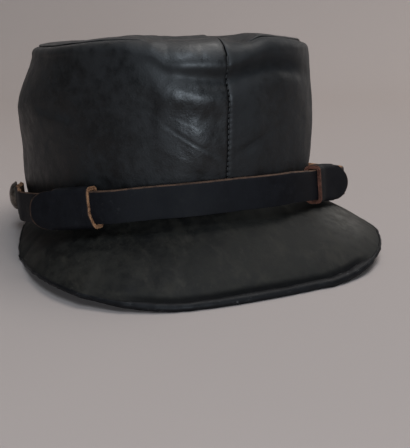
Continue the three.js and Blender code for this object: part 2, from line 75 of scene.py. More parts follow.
def ease(value, low, high):
    share = min(max((value - low) / (high - low), 0), 1)
    return share * share * (3 - 2 * share)


# Reads a column of a table whose rows start with degrees round from the front.
def tableAt(table, column, degrees):
    if degrees <= table[0][0]:
        return table[0][column]
    for low, high in zip(table, table[1:]):
        if degrees <= high[0]:
            return mix(low[column], high[column], ease(degrees, low[0], high[0]))
    return table[-1][column]


def ovalAt(halfWidth, halfDepth, around, power):
    sine = math.sin(math.radians(around))
    cosine = math.cos(math.radians(around))
    across = math.copysign(abs(sine) ** (2 / power), sine)
    ahead = math.copysign(abs(cosine) ** (2 / power), cosine)
    out = Vector((halfDepth * sine, -halfWidth * cosine, 0)).normalized()
    return Vector((halfWidth * across, -halfDepth * ahead, 0)), out


def noiseAt(x, y, z):
    return noise.noise(Vector((x, y, z)))


def deselectAll():
    bpy.ops.object.select_all(action="DESELECT")


def activate(piece):
    deselectAll()
    piece.select_set(True)
    bpy.context.view_layer.objects.active = piece


def applyAll(piece):
    activate(piece)
    for modifier in list(piece.modifiers):
        bpy.ops.object.modifier_apply(modifier=modifier.name)


# A flat grid is added and every corner of it goes where pointAt(u, v) says, with u and v from 0
# to 1. paint names masks that are kept on the corners for the materials.
def shapedGrid(name, columns, rows, pointAt, paint=None):
    deselectAll()
    bpy.ops.mesh.primitive_grid_add(x_subdivisions=columns, y_subdivisions=rows, size=2)
    piece = bpy.context.object
    piece.name = name
    shares = [((corner.co.x + 1) / 2, (corner.co.y + 1) / 2) for corner in piece.data.vertices]
    for maskName, maskAt in (paint or {}).items():
        mask = piece.data.attributes.new(maskName, "FLOAT", "POINT")
        mask.data.foreach_set("value", [maskAt(u, v) for u, v in shares])
    for corner, (u, v) in zip(piece.data.vertices, shares):
        corner.co = laidDown(pointAt(u, v))
    return piece


# A ball is added and its rings follow a profile from pole to pole: pointAt(step, turn), with
# step the number of the ring and turn in degrees.
def shapedBall(name, segments, rings, pointAt):
    deselectAll()
    bpy.ops.mesh.primitive_uv_sphere_add(segments=segments, ring_count=rings, radius=1)
    piece = bpy.context.object
    piece.name = name
    for corner in piece.data.vertices:
        height = min(max(corner.co.z, -1), 1)
        step = round(math.acos(height) / math.pi * rings)
        turn = math.degrees(math.atan2(corner.co.y, corner.co.x))
        corner.co = laidDown(pointAt(step, turn))
    return piece


# A wall behind the shaped face, its edges eased, with its own material behind and on the rim.
def thicken(piece, wall, edge):
    solid = piece.modifiers.new("wall", "SOLIDIFY")
    solid.thickness = wall / 1000
    solid.offset = -1
    solid.material_offset = 1
    solid.material_offset_rim = 2
    bevel = piece.modifiers.new("edge", "BEVEL")
    bevel.width = edge / 1000
    bevel.segments = 2
    bevel.limit_method = "ANGLE"
    bevel.angle_limit = math.radians(50)
    applyAll(piece)


# Turns every face outwards, after corners that meet are merged where weld is set.
def faceOutwards(piece, weld=False):
    activate(piece)
    bpy.ops.object.mode_set(mode="EDIT")
    bpy.ops.mesh.select_all(action="SELECT")
    if weld:
        bpy.ops.mesh.remove_doubles(threshold=0.00001)
    bpy.ops.mesh.normals_make_consistent(inside=False)
    bpy.ops.object.mode_set(mode="OBJECT")


def finishPiece(piece, nodes):
    activate(piece)
    bpy.ops.object.shade_smooth_by_angle(angle=math.radians(50))
    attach(piece, "root")
    if nodes:
        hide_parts(*nodes)


def setMaterials(piece, *materials):
    piece.data.materials.clear()
    for material in materials:
        piece.data.materials.append(material)


# Materials. Two node groups carry what several leathers share.
def groupSocket(group, name, direction, kind, value=None):
    socket = group.interface.new_socket(name=name, in_out=direction, socket_type=kind)
    if value is not None:
        socket.default_value = value


def link(tree, source, target):
    tree.links.new(source, target)


def newNode(tree, kind, **settings):
    node = tree.nodes.new(kind)
    for key, value in settings.items():
        setattr(node, key, value)
    return node


def setInputs(node, values):
    for name, value in values.items():
        node.inputs[name].default_value = value


def noiseNode(tree, vector, scale, detail=4, roughness=0.55, distortion=0.0):
    node = newNode(tree, "ShaderNodeTexNoise")
    setInputs(node, {"Scale": scale, "Detail": detail, "Roughness": roughness, "Distortion": distortion})
    link(tree, vector, node.inputs["Vector"])
    return node.outputs["Fac"]


def mathNode(tree, operation, first, second):
    node = newNode(tree, "ShaderNodeMath", operation=operation)
    for socket, value in zip(node.inputs, (first, second)):
        if isinstance(value, (int, float)):
            socket.default_value = value
        else:
            link(tree, value, socket)
    return node.outputs[0]


def product(tree, first, second):
    return mathNode(tree, "MULTIPLY", first, second)


def rangeNode(tree, value, low, high, toLow=0.0, toHigh=1.0):
    node = newNode(tree, "ShaderNodeMapRange")
    node.interpolation_type = "SMOOTHSTEP"
    link(tree, value, node.inputs["Value"])
    setInputs(node, {"From Min": low, "From Max": high, "To Min": toLow, "To Max": toHigh})
    return node.outputs["Result"]


def mixColors(tree, share, first, second):
    node = newNode(tree, "ShaderNodeMix", data_type="RGBA")
    link(tree, share, node.inputs[0])
    for socket, value in ((node.inputs[6], first), (node.inputs[7], second)):
        if isinstance(value, tuple):
            socket.default_value = (*value, 1)
        else:
            link(tree, value, socket)
    return node.outputs[2]


# Leather's grain: fine pebbles, pores and soft wrinkles as a height, and a patchiness mask.
def makeGrainGroup():
    group = bpy.data.node_groups.new("leatherGrain", "ShaderNodeTree")
    groupSocket(group, "Vector", "INPUT", "NodeSocketVector")
    groupSocket(group, "Pebbles", "INPUT", "NodeSocketFloat", 0.5)
    groupSocket(group, "Wrinkles", "INPUT", "NodeSocketFloat", 0.5)
    groupSocket(group, "Height", "OUTPUT", "NodeSocketFloat")
    groupSocket(group, "Patches", "OUTPUT", "NodeSocketFloat")
    inside = newNode(group, "NodeGroupInput")
    outside = newNode(group, "NodeGroupOutput")
    place = inside.outputs["Vector"]
    pebbles = newNode(group, "ShaderNodeTexVoronoi", feature="SMOOTH_F1")
    setInputs(pebbles, {"Scale": 900, "Smoothness": 0.6})
    link(group, place, pebbles.inputs["Vector"])
    pebbleHeight = product(group, pebbles.outputs["Distance"], inside.outputs["Pebbles"])
    pores = product(group, noiseNode(group, place, 1900, 2), inside.outputs["Pebbles"])
    folds = noiseNode(group, place, 110, 6, 0.62, 0.6)
    foldHeight = product(group, folds, inside.outputs["Wrinkles"])
    height = mathNode(group, "ADD", product(group, pebbleHeight, 0.35), foldHeight)
    height = mathNode(group, "ADD", height, product(group, pores, 0.15))
    broad = noiseNode(group, place, 34, 5, 0.6)
    patches = mathNode(group, "ADD", broad, noiseNode(group, place, 210, 4, 0.6))
    link(group, height, outside.inputs["Height"])
    link(group, product(group, patches, 0.5), outside.inputs["Patches"])
    return group


# Scuffs: thin scattered scratches and rubbed specks as one mask.
def makeScuffGroup():
    group = bpy.data.node_groups.new("scuffs", "ShaderNodeTree")
    groupSocket(group, "Vector", "INPUT", "NodeSocketVector")
    groupSocket(group, "Amount", "INPUT", "NodeSocketFloat", 0.5)
    groupSocket(group, "Mask", "OUTPUT", "NodeSocketFloat")
    inside = newNode(group, "NodeGroupInput")
    outside = newNode(group, "NodeGroupOutput")
    place = inside.outputs["Vector"]
    stretch = newNode(group, "ShaderNodeMapping")
    setInputs(stretch, {"Scale": (1, 0.22, 0.6), "Rotation": (0.3, 0.2, 0.7)})
    link(group, place, stretch.inputs["Vector"])
    scratches = rangeNode(group, noiseNode(group, stretch.outputs["Vector"], 620, 3, 0.7), 0.63, 0.74)
    specks = rangeNode(group, noiseNode(group, place, 480, 3, 0.7), 0.6, 0.72)
    where = rangeNode(group, noiseNode(group, place, 45, 3), 0.42, 0.62)
    both = mathNode(group, "MAXIMUM", scratches, specks)
    mask = product(group, product(group, both, where), inside.outputs["Amount"])
    link(group, mask, outside.inputs["Mask"])
    return group


leatherGrain = makeGrainGroup()
scuffGroup = makeScuffGroup()


def startMaterial(name):
    material = bpy.data.materials.new(name)
    material.use_nodes = True
    tree = material.node_tree
    shader = tree.nodes["Principled BSDF"]
    place = newNode(tree, "ShaderNodeTexCoord").outputs["Object"]
    return material, tree, shader, place


def attributeOf(tree, name):
    return newNode(tree, "ShaderNodeAttribute", attribute_name=name).outputs["Fac"]


def bumpFrom(tree, height, distance):
    bump = newNode(tree, "ShaderNodeBump")
    setInputs(bump, {"Distance": distance, "Strength": 1})
    link(tree, height, bump.inputs["Height"])
    return bump.outputs["Normal"]


# Smooth black leather. The optional masks in a look are the strength or colour of a mask that the piece
# carries: rubbed pale (on the visor also painted paler as a sheen of light), polished, darkened with
# painted shade in the pressed-in groove, and cut to show the tan.
def makeLeather(name, look):
    material, tree, shader, place = startMaterial(name)
    grain = newNode(tree, "ShaderNodeGroup", node_tree=leatherGrain)
    setInputs(grain, {"Pebbles": look["pebbles"], "Wrinkles": look["wrinkles"]})
    link(tree, place, grain.inputs["Vector"])
    scuffs = newNode(tree, "ShaderNodeGroup", node_tree=scuffGroup)
    setInputs(scuffs, {"Amount": look["scuffs"]})
    link(tree, place, scuffs.inputs["Vector"])
    patches = rangeNode(tree, grain.outputs["Patches"], 0.36, 0.64)
    color = mixColors(tree, patches, look["dark"], look["light"])
    color = mixColors(tree, scuffs.outputs["Mask"], color, look["scuffed"])
    roughness = rangeNode(tree, grain.outputs["Patches"], 0.38, 0.62, look["rough"][0], look["rough"][1])
    # Pale rubbed colour. On the visor this patch is rubbed wear and a painted sheen of light together.
    if "worn" in look:
        uneven = rangeNode(tree, grain.outputs["Patches"], 0.3, 0.6)
        rubbed = product(tree, attributeOf(tree, "worn"), uneven)
        color = mixColors(tree, rubbed, color, look["worn"])
    if "shine" in look:
        polished = product(tree, attributeOf(tree, "shine"), look["shine"])
        roughness = mathNode(tree, "SUBTRACT", roughness, polished)
    roughness = mathNode(tree, "ADD", roughness, product(tree, scuffs.outputs["Mask"], 0.15))
    if "smudge" in look:
        stretch = newNode(tree, "ShaderNodeMapping")
        setInputs(stretch, {"Scale": (1, 0.4, 1)})
        link(tree, place, stretch.inputs["Vector"])
        smudge = rangeNode(tree, noiseNode(tree, stretch.outputs["Vector"], 95, 7, 0.7, 0.3), 0.46, 0.72)
        color = mixColors(tree, smudge, color, look["smudge"])
    # Painted shade: the groove is darkened to near black, and made rougher.
    if "grooveShade" in look:
        grooveShade = attributeOf(tree, "grooveShade")
        color = mixColors(tree, grooveShade, color, look["grooveShade"])
        roughness = mathNode(tree, "ADD", roughness, product(tree, grooveShade, 0.3))
    if "edge" in look:
        edge = rangeNode(tree, attributeOf(tree, "edge"), 0.35, 0.8)
        rubbed = rangeNode(tree, noiseNode(tree, place, 260, 4), 0.3, 0.62, 0.35, 1)
        edge = product(tree, edge, rubbed)
        color = mixColors(tree, edge, color, look["edge"])
    link(tree, color, shader.inputs["Base Color"])
    link(tree, roughness, shader.inputs["Roughness"])
    link(tree, bumpFrom(tree, grain.outputs["Height"], look["relief"]), shader.inputs["Normal"])
    coat = {"Coat Weight": look["coat"], "Coat Roughness": 0.3}
    setInputs(shader, {"Specular IOR Level": look["specular"], **coat})
    return material


leatherLooks = {
    "crown": {
        "dark": (0.0026, 0.0027, 0.0030), "light": (0.0086, 0.0086, 0.0092),
        "scuffed": (0.018, 0.018, 0.018), "scuffs": 0.3,
        "rough": (0.48, 0.68), "shine": 0.13, "worn": (0.03, 0.028, 0.026),
        "pebbles": 0.18, "wrinkles": 0.38, "relief": 0.0007,
        "specular": 0.37, "coat": 0.05,
    },
    "visor": {
        "dark": (0.0034, 0.0033, 0.0030), "light": (0.0125, 0.0117, 0.0098),
        "scuffed": (0.034, 0.032, 0.027), "scuffs": 0.5, "smudge": (0.019, 0.0172, 0.0138),
        # The visor's pale patch colour is rubbed wear with a painted sheen of light on it.
        "rough": (0.62, 0.74), "worn": (0.085, 0.078, 0.069), "grooveShade": (0.0008, 0.0008, 0.001),
        # The groove colour above is painted shade, near black.
        "pebbles": 0.15, "wrinkles": 0.35, "relief": 0.0005,
        "specular": 0.16, "coat": 0,
    },
    "binding": {
        "dark": (0.0024, 0.0024, 0.0030), "light": (0.0050, 0.0050, 0.0058),
        "scuffed": (0.075, 0.073, 0.072), "scuffs": 0.7,
        "rough": (0.5, 0.64),
        "pebbles": 0.2, "wrinkles": 0.4, "relief": 0.0005,
        "specular": 0.16, "coat": 0,
    },
    "strap": {
        "dark": (0.0028, 0.0028, 0.0038), "light": (0.0054, 0.0054, 0.0070),
        "scuffed": (0.025, 0.024, 0.024), "scuffs": 0.35,
        "rough": (0.6, 0.72), "edge": (0.085, 0.048, 0.031),
        "pebbles": 0.15, "wrinkles": 0.2, "relief": 0.0004,
        "specular": 0.12, "coat": 0,
    },
}
crownLeather = makeLeather("crownLeather", leatherLooks["crown"])
visorLeather = makeLeather("visorLeather", leatherLooks["visor"])
bindingLeather = makeLeather("bindingLeather", leatherLooks["binding"])
strapLeather = makeLeather("strapLeather", leatherLooks["strap"])


# Cut leather: dyed patchily, fibrous, dull.
def makeFibre(name, dark, light, fibre, relief):
    material, tree, shader, place = startMaterial(name)
    stretch = newNode(tree, "ShaderNodeMapping")
    setInputs(stretch, {"Scale": (1, 1, 2.2)})
    link(tree, place, stretch.inputs["Vector"])
    strands = noiseNode(tree, stretch.outputs["Vector"], fibre, 5, 0.7, 0.4)
    patches = noiseNode(tree, place, 160, 4, 0.6)
    patches = product(tree, patches, 0.55)
    share = mathNode(tree, "ADD", product(tree, strands, 0.45), patches)
    color = mixColors(tree, rangeNode(tree, share, 0.38, 0.6), dark, light)
    link(tree, color, shader.inputs["Base Color"])
    setInputs(shader, {"Roughness": 0.82, "Specular IOR Level": 0.25})
    link(tree, bumpFrom(tree, strands, relief), shader.inputs["Normal"])
    return material


rawEdge = makeFibre("rawEdge", (0.085, 0.032, 0.014), (0.40, 0.205, 0.105), 900, 0.0006)
redEdge = makeFibre("redEdge", (0.030, 0.010, 0.006), (0.15, 0.058, 0.036), 900, 0.0006)
blackEdge = makeFibre("blackEdge", (0.008, 0.007, 0.007), (0.03, 0.024, 0.02), 900, 0.0005)
fleshSide = makeFibre("fleshSide", (0.035, 0.025, 0.018), (0.09, 0.062, 0.042), 700, 0.0007)
strapFlesh = makeFibre("strapFlesh", (0.05, 0.026, 0.015), (0.16, 0.088, 0.05), 700, 0.0007)


def makeThread():
    material, tree, shader, place = startMaterial("thread")
    twist = noiseNode(tree, place, 2400, 2)
    color = mixColors(tree, twist, (0.003, 0.003, 0.003), (0.012, 0.011, 0.011))
    link(tree, color, shader.inputs["Base Color"])
    setInputs(shader, {"Roughness": 0.6})
    link(tree, bumpFrom(tree, twist, 0.0002), shader.inputs["Normal"])
    return material


def makeButtonMetal():
    material, tree, shader, place = startMaterial("buttonMetal")
    tarnish = rangeNode(tree, noiseNode(tree, place, 190, 6, 0.65), 0.4, 0.66)
    spots = rangeNode(tree, noiseNode(tree, place, 800, 3, 0.6), 0.58, 0.7)
    dirty = mathNode(tree, "MAXIMUM", tarnish, product(tree, spots, 0.6))
    color = mixColors(tree, dirty, (0.17, 0.15, 0.13), (0.06, 0.047, 0.037))
    link(tree, color, shader.inputs["Base Color"])
    setInputs(shader, {"Metallic": 1})
    link(tree, rangeNode(tree, dirty, 0, 1, 0.36, 0.62), shader.inputs["Roughness"])
    link(tree, bumpFrom(tree, spots, 0.00015), shader.inputs["Normal"])
    return material


thread = makeThread()
buttonMetal = makeButtonMetal()
print("materials made")

# Crown.
crown = {
    "rimHalfWidth": 80,
    "rimHalfDepth": 101.6,
    "topHalfWidth": 77,
    "topHalfDepth": 96.8,
    "topForward": 21,
    "height": 95.5,
    "rake": 0.11,
    "swell": 5.2,
    "power": 2.08,
    "wall": 1.8,
    "lip": 7,
    "seamRoll": 1.1,
    "seamRollWidth": 2.0,
    "seamRollLeft": 0.45,
    "dentDepth": 2.4,
    "rimWave": 1.6,
    "pucker": 0.1,
    "puckerWidth": 1.7,
    "stitchPitch": 2.7,
    "shoulderRun": 11,
    "columns": 250,
    "sideRows": 104,
    "shoulderRows": 22,
    "lipRows": 6,
}
degreeLength = math.radians(crown["rimHalfDepth"])
frontWall = 76  # height of the side in front, up to the shoulder

# Broad dents and swells: degrees round, share of the height, degrees wide, share tall, degrees
# off level, and depth as a share of dentDepth.
dents = [
    (-9, 0.935, 17, 0.065, -10, -0.6),
    (15, 0.9, 22, 0.055, -6, -1.2),
    (-12, 0.81, 18, 0.08, -6, 0.55),
    (-10, 0.57, 10, 0.09, -35, 0.3),
    (-8, 0.42, 9, 0.12, 0, 0.45),
    (9, 0.62, 5, 0.26, 0, 0.45),
    (9, 0.46, 6, 0.035, 20, -0.35),
    (-62, 0.6, 20, 0.3, 0, -0.35),
    (128, 0.5, 22, 0.22, 10, -0.7),
    (-150, 0.42, 18, 0.2, -15, -0.6),
    (-88, 0.98, 28, 0.12, 0, -1.45),
    (-88, 0.72, 24, 0.08, 0, 0.45),
    (-88, 0.44, 26, 0.16, 0, -0.85),
    (84, 0.93, 20, 0.07, 0, 0.5),
]
# Sharp folds: from and to, each as degrees round and share of the height, then the fold's half
# width and depth in mm.
folds = [
    (2, 0.94, 36, 0.875, 3.0, 0.45),
    (-21, 0.66, -2, 0.40, 0.7, 0.2),
    (-17, 0.70, -8, 0.61, 0.6, 0.1),
    (4.5, 0.445, 12, 0.50, 0.6, 0.2),
    (-16, 0.34, -6, 0.30, 1.4, 0.08),
    (58, 0.9, 78, 0.7, 2.0, 0.5),
    (-75, 0.7, -50, 0.62, 2.4, 0.3),
    (120, 0.4, 160, 0.55, 2.6, 0.5),
    (-165, 0.3, -135, 0.5, 2.4, 0.5),
    (-120, 0.8, -95, 0.72, 2.2, 0.4),
    (90, 0.85, 112, 0.8, 2.0, 0.4),
]
# The shoulder's radius, and how far its crest stands over the plain height, in mm.
shoulders = [
    (-180, 5, 0.4), (-110, 5, 0.7), (-60, 5, 1.8), (-36, 5.5, 2.6), (-26, 8, 2.3),
    (-20, 13, 2.5), (0, 13.5, 2.6), (3, 10, 0.4), (9, 6.5, -0.9), (18, 5.5, 1.0),
    (32, 5, 0.6), (60, 4, 1), (110, 4.5, 0.4), (180, 5, 0.4),
]
# How far the crown's top edge waves, at degrees round, as a share of rimWave.
rimWaves = [(-150, 0.2), (-78, -0.2), (-44, 1), (-10, 0.4), (20, 1.3), (62, -1.3), (120, 0.2)]
# The leather's own unevenness: depth and size in mm, and where in the noise each one lies.
ripples = [(0.9, 34, (0, 0, 0)), (0.30, 11, (7, 3, 1)), (0.09, 4.2, (2, 9, 5))]


# The rim's outline and the way out from it.
def rimAt(around):
    return ovalAt(crown["rimHalfWidth"], crown["rimHalfDepth"], around, crown["power"])


def dentAt(around, up):
    push = 0
    for dentAround, dentUp, wide, tall, slant, depth in dents:
        across = (around - dentAround) * degreeLength
        rise = (up - dentUp) * crown["height"]
        cosine = math.cos(math.radians(slant))
        sine = math.sin(math.radians(slant))
        far = (across * cosine + rise * sine) / (wide * degreeLength)
        near = (rise * cosine - across * sine) / (tall * crown["height"])
        push += depth * math.exp(-far ** 2 - near ** 2)
    return push * crown["dentDepth"] * ease(up, 0.05, 0.3)


def foldAt(around, up):
    push = 0
    for startAround, startUp, endAround, endUp, width, depth in folds:
        runX = (endAround - startAround) * degreeLength
        runZ = (endUp - startUp) * frontWall
        x = (around - startAround) * degreeLength
        z = (up - startUp) * frontWall
        length = math.hypot(runX, runZ)
        along = (x * runX + z * runZ) / length ** 2
        beside = (z * runX - x * runZ) / length
        if along < -0.3 or along > 1.3 or abs(beside) > width * 5:
            continue
        fade = ease(along, -0.15, 0.25) * (1 - ease(along, 0.7, 1.15))
        valley = math.exp(-(beside / width) ** 2)
        ridge = math.exp(-((beside + width * 2.1) / (width * 1.3)) ** 2)
        push += depth * fade * (0.3 * ridge - valley)
    return push


def topHeight(around, y):
    wave = crown["rimWave"] * tableAt(rimWaves, 1, around)
    return crown["height"] + crown["rake"] * y + wave + tableAt(shoulders, 2, around)


# The plain outside of the crown: v runs up the side to 1, round the shoulder to 2 and in along
# the lip to 3.
def crownAt(around, v, push=0):
    up = min(v, 1)
    turn = min(max(v - 1, 0), 1) * math.pi / 2
    swell = crown["swell"] * 4 * up * (1 - up)
    lean = up ** 2
    halfWidth = mix(crown["rimHalfWidth"], crown["topHalfWidth"], lean) + swell
    halfDepth = mix(crown["rimHalfDepth"], crown["topHalfDepth"], lean) + swell
    plan, out = ovalAt(halfWidth, halfDepth, around, crown["power"])
    radius = tableAt(shoulders, 1, around)
    inwards = radius * (1 - math.cos(turn)) + max(v - 2, 0) * crown["lip"]
    rate = radius * math.pi / 2 / (crown["height"] - radius)
    fading = up + 0.08 * (1 - math.exp(-rate / 0.08 * max(v - 1, 0)))
    point = plan + out * (dentAt(around, fading) - inwards + push)
    point.y -= crown["topForward"] * lean
    point.z = up * (topHeight(around, point.y) - radius) + radius * math.sin(turn)
    return point


def crownSkin(around, v):
    up = min(v, 1)
    height = up * frontWall + max(v - 1, 0) * crown["shoulderRun"]
    toSeam = min(abs(around), 180 - abs(around)) * degreeLength
    near = max(0, 1 - toSeam / crown["seamRollWidth"])
    push = -crown["seamRoll"] * near ** 2 * ease(up, 0, 0.2)
    push *= crown["seamRollLeft"] if around > 0 else 1
    beat = math.sin(2 * math.pi * height / crown["stitchPitch"])
    push += crown["pucker"] * math.exp(-(toSeam / crown["puckerWidth"]) ** 2) * beat
    push += foldAt(around, v)
    spot = Vector((around * degreeLength, height, 0))
    free = ease(up, 0.02, 0.2)
    for depth, size, start in ripples:
        push += depth * noise.noise(spot / size + Vector(start)) * free
    return crownAt(around, v, push)


# Where the crown's leather is polished and where it is dull. Middle and width are in degrees
# round; the dull band under the shoulder has its height and slope as shares of the crown's.
polish = {
    "middle": -10,
    "width": 13,
    "dullLeft": 1.1,
    "bandUp": 0.96,
    "bandSlope": 0.003,
    "bandTall": 0.075,
    "dullBand": 2.2,
    "dullCrease": 8,
}


def shineAt(around, up):
    front = math.exp(-((around - polish["middle"]) / polish["width"]) ** 2)
    shine = front * ease(up, 0.2, 0.5) * (1 - ease(around, 0, 0.1))
    shine -= polish["dullLeft"] * ease(around, 0, 2)
    off = up - polish["bandUp"] + polish["bandSlope"] * around
    band = math.exp(-(off / polish["bandTall"]) ** 2)
    band *= ease(around, -34, -24) * (1 - ease(around, 0, 1))
    crease = max(0, -foldAt(around, up))
    return shine - polish["dullBand"] * band - polish["dullCrease"] * crease


def rubbedAt(around, up):
    return 0.5 * math.exp(-((up - 1.6) / 0.5) ** 2) * ease(abs(around), 30, 70)


def makeCrownPanel(side, node):
    rows = crown["sideRows"] + crown["shoulderRows"] + crown["lipRows"]
    halfGap = gap / 2 / degreeLength

    def panelPlace(u, v):
        closer = u - 0.6 * math.sin(2 * math.pi * u) / (2 * math.pi)
        around = mix(halfGap, 180 - halfGap, closer)
        if side < 0:
            around = -mix(180 - halfGap, halfGap, closer)
        row = v * rows
        if row <= crown["sideRows"]:
            return around, row / crown["sideRows"]
        row -= crown["sideRows"]
        if row <= crown["shoulderRows"]:
            return around, 1 + row / crown["shoulderRows"]
        return around, 2 + (row - crown["shoulderRows"]) / crown["lipRows"]

    def onPanel(placeAt):
        return lambda u, v: placeAt(*panelPlace(u, v))

    masks = {"shine": onPanel(shineAt), "worn": onPanel(rubbedAt)}
    panel = shapedGrid(node, crown["columns"], rows, onPanel(crownSkin), masks)
    setMaterials(panel, crownLeather, fleshSide, blackEdge)
    thicken(panel, crown["wall"], 0.25)
    finishPiece(panel, [node])


makeCrownPanel(1, "crown_panel_left")
makeCrownPanel(-1, "crown_panel_right")
print("crown panels made")

# The top panel, with its turned edge standing round it.
top = {
    "wall": 1.8,
    "bead": 1.1,
    "sink": 3,
    "settle": 0.1,
    "segments": 260,
}
# The turned edge at degrees round: its lift over the shoulder and its distance in from the
# crown's side, in mm.
edgeLifts = [
    (-180, 0.2, 5.5), (-120, 0.4, 5), (-90, 0, 4.8), (-62, 0, 4.8), (-56, -0.3, 4.8), (-30, -0.5, 5.6),
    (-24, -2.9, 14), (1, -3.2, 14.5), (7, -2.2, 8.5), (14, -0.1, 6.4), (30, -0.3, 5.2),
    (48, 0.4, 4), (64, 0.2, 4), (90, 0, 4.4), (135, 0.3, 5), (180, 0.2, 5.5),
]


def makeTopPanel():
    radius = top["bead"] / 2
    profile = []
    for step in range(26):
        share = step / 26
        sunk = top["sink"] * (1 - ease(share, 0.35, 0.97))
        profile.append((share * 0.955, 0, top["wall"] - sunk))
    for angle in range(110, -91, -20):
        turn = math.radians(angle)
        profile.append((1, radius * (math.cos(turn) - 1), radius * (1 + math.sin(turn))))
    for step in range(12, -1, -1):
        share = step / 12
        sunk = top["sink"] * (1 - ease(share, 0.35, 0.85))
        profile.append((share * 0.97, 0, -sunk))
    centre = Vector((0, -crown["topForward"], topHeight(0, -crown["topForward"]) + gap))

    def pointAt(step, turn):
        share, out, over = profile[step]
        around = -turn
        edge = crownAt(around, 1, -tableAt(edgeLifts, 2, around))
        edge.z += tableAt(shoulders, 1, around) - top["settle"]
        _, outwards = ovalAt(crown["topHalfWidth"], crown["topHalfDepth"], around, crown["power"])
        point = centre.lerp(edge, share) + outwards * out
        spot = point / 16
        wobble = 0.9 * noise.noise(spot) + 0.35 * noise.noise(spot * 3)
        point.z += over + wobble * (1 - ease(share, 0.85, 0.97))
        point.z += tableAt(edgeLifts, 1, around) * ease(share, 0.8, 1)
        if share > 0.98:
            point += outwards * 0.35 * noiseAt(around / 5, 3, 0)
            point.z += 0.25 * noiseAt(around / 4, 8, 0)
        return point

    panel = shapedBall("crown_top", top["segments"], len(profile) - 1, pointAt)
    faceOutwards(panel)
    setMaterials(panel, crownLeather)
    finishPiece(panel, ["crown_top"])


makeTopPanel()
print("top panel made")

# Visor.
visor = {
    "halfWidthLeft": 93.4,
    "halfWidthRight": 95.8,
    "powerLeft": 3.1,
    "powerRight": 2.8,
    "middle": 43.5,
    "reach": 142,
    "end": 15,
    "frontDrop": 32.2,
    "sideDropLeft": 14,
    "sideDropRight": 17.6,
    "welt": 3.4,
    "wall": 2,
    "root": 0.8,
    "flange": 9,
    "flangeGap": 0.6,
    "arch": 3.2,
    "settle": 0.8,
    "turn": 91,
    "bow": 0.55,
    "rise": 1.25,
    "edgeTurn": 0.72,
    "wander": 0.9,
    "flangeShare": 0.12,
    "ledgeShare": 0.05,
    "crowded": 0.7,
    "grooveDepth": 0.5,
    "grooveNear": 1.1,
    "grooveFar": 2.9,
    "columns": 240,
    "rows": 80,
}
binding = {
    "wall": 0.9,
    "swell": 1.05,
    "flat": 0.25,
    "sunk": 0.35,
    "under": 4.6,
    "round": 0.4,
    "end": 0.93,
    "columns": 300,
    "rows": 30,
}
restRise = visor["frontDrop"] - visor["settle"] + binding["under"] / 2
restSlope = restRise / (visor["reach"] + crown["rimHalfDepth"])


# The cut edge wanders a little.
def visorEdge(along):
    edge = plainVisorEdge(along)
    out = Vector((edge.x, edge.y + visor["middle"], 0)).normalized()
    wander = noiseAt(along * 11, 1, 7) + 0.6 * noiseAt(along * 34, 4, 7)
    return edge + out * visor["wander"] * wander * (1 - ease(abs(along), 0.75, 0.95))


def plainVisorEdge(along):
    side = -1 if along < 0 else 1
    half = abs(along)
    halfWidth = visor["halfWidthLeft"] if side > 0 else visor["halfWidthRight"]
    power = visor["powerLeft"] if side > 0 else visor["powerRight"]
    sideDrop = visor["sideDropLeft"] if side > 0 else visor["sideDropRight"]
    if half <= visor["edgeTurn"]:
        quarter = half / visor["edgeTurn"] * 90
        plan, _ = ovalAt(halfWidth, visor["reach"] - visor["middle"], side * quarter, power)
        front = math.cos(math.radians(quarter)) ** 2
        drop = mix(sideDrop, visor["frontDrop"], front)
        y = plan.y - visor["middle"]
        rested = visor["frontDrop"] - visor["settle"] - restSlope * (y + visor["reach"])
        return Vector((plan.x, y, -min(drop, rested)))
    back = (half - visor["edgeTurn"]) / (1 - visor["edgeTurn"])
    run = visor["middle"] + visor["end"]
    end = crownAt(visor["turn"], 0)
    straight = math.sqrt(1 - visor["bow"] ** 2)
    bow = (math.sqrt(1 - (back * visor["bow"]) ** 2) - straight) / (1 - straight)
    reach = mix(end.x + visor["root"] + gap, halfWidth, bow)
    drop = sideDrop * (1 - back ** visor["rise"]) + gap
    return Vector((side * reach, -visor["middle"] + run * back, -drop))


# v runs down the flange to 1, out along the ledge to 2 and out to the edge at 3.
def visorFace(along, v):
    plan, out = rimAt(along * visor["turn"])
    behind = plan - out * (crown["wall"] + visor["flangeGap"])
    ledge = plan + out * visor["root"]
    ledge.z = -gap * 1.5
    if v <= 1:
        behind.z = mix(visor["flange"], -gap, v)
        return behind
    behind.z = -gap
    if v <= 2:
        return behind.lerp(ledge, min((v - 1) / 0.75, 1))
    share = v - 2
    edge = visorEdge(along)
    length = min((ledge - edge).length / (visor["reach"] - crown["rimHalfDepth"]), 1)
    face = ledge.lerp(edge, share)
    face.z += visor["arch"] * length * 4 * share * (1 - share)
    return face


# Rows lie closer towards the edge, where the groove is.
def visorRow(v):
    flange = visor["flangeShare"]
    root = flange + visor["ledgeShare"]
    if v < flange:
        return v / flange
    if v < root:
        return 1 + (v - flange) / visor["ledgeShare"]
    share = (v - root) / (1 - root)
    return 2 + share + visor["crowded"] * share * (1 - share) * share


def visorSkin(u, v):
    along = mix(1, -1, u)
    row = visorRow(v)
    face = visorFace(along, row)
    share = max(row - 2, 0)
    free = ease(share, 0.1, 0.35) * (1 - ease(share, 0.82, 0.95))
    welt = visor["welt"] * (1 - ease(abs(along), 0.7, 1))
    face.z += welt * ease(row, 1.75, 2) * (1 - ease(share, 0, 0.15))
    spot = Vector((face.x, face.y, 0))
    face.z += (0.8 * noise.noise(spot / 30) + 0.22 * noise.noise(spot / 9)) * free
    if share > 0.8:
        face.z -= visor["grooveDepth"] * grooveAt(along, share)
    return face


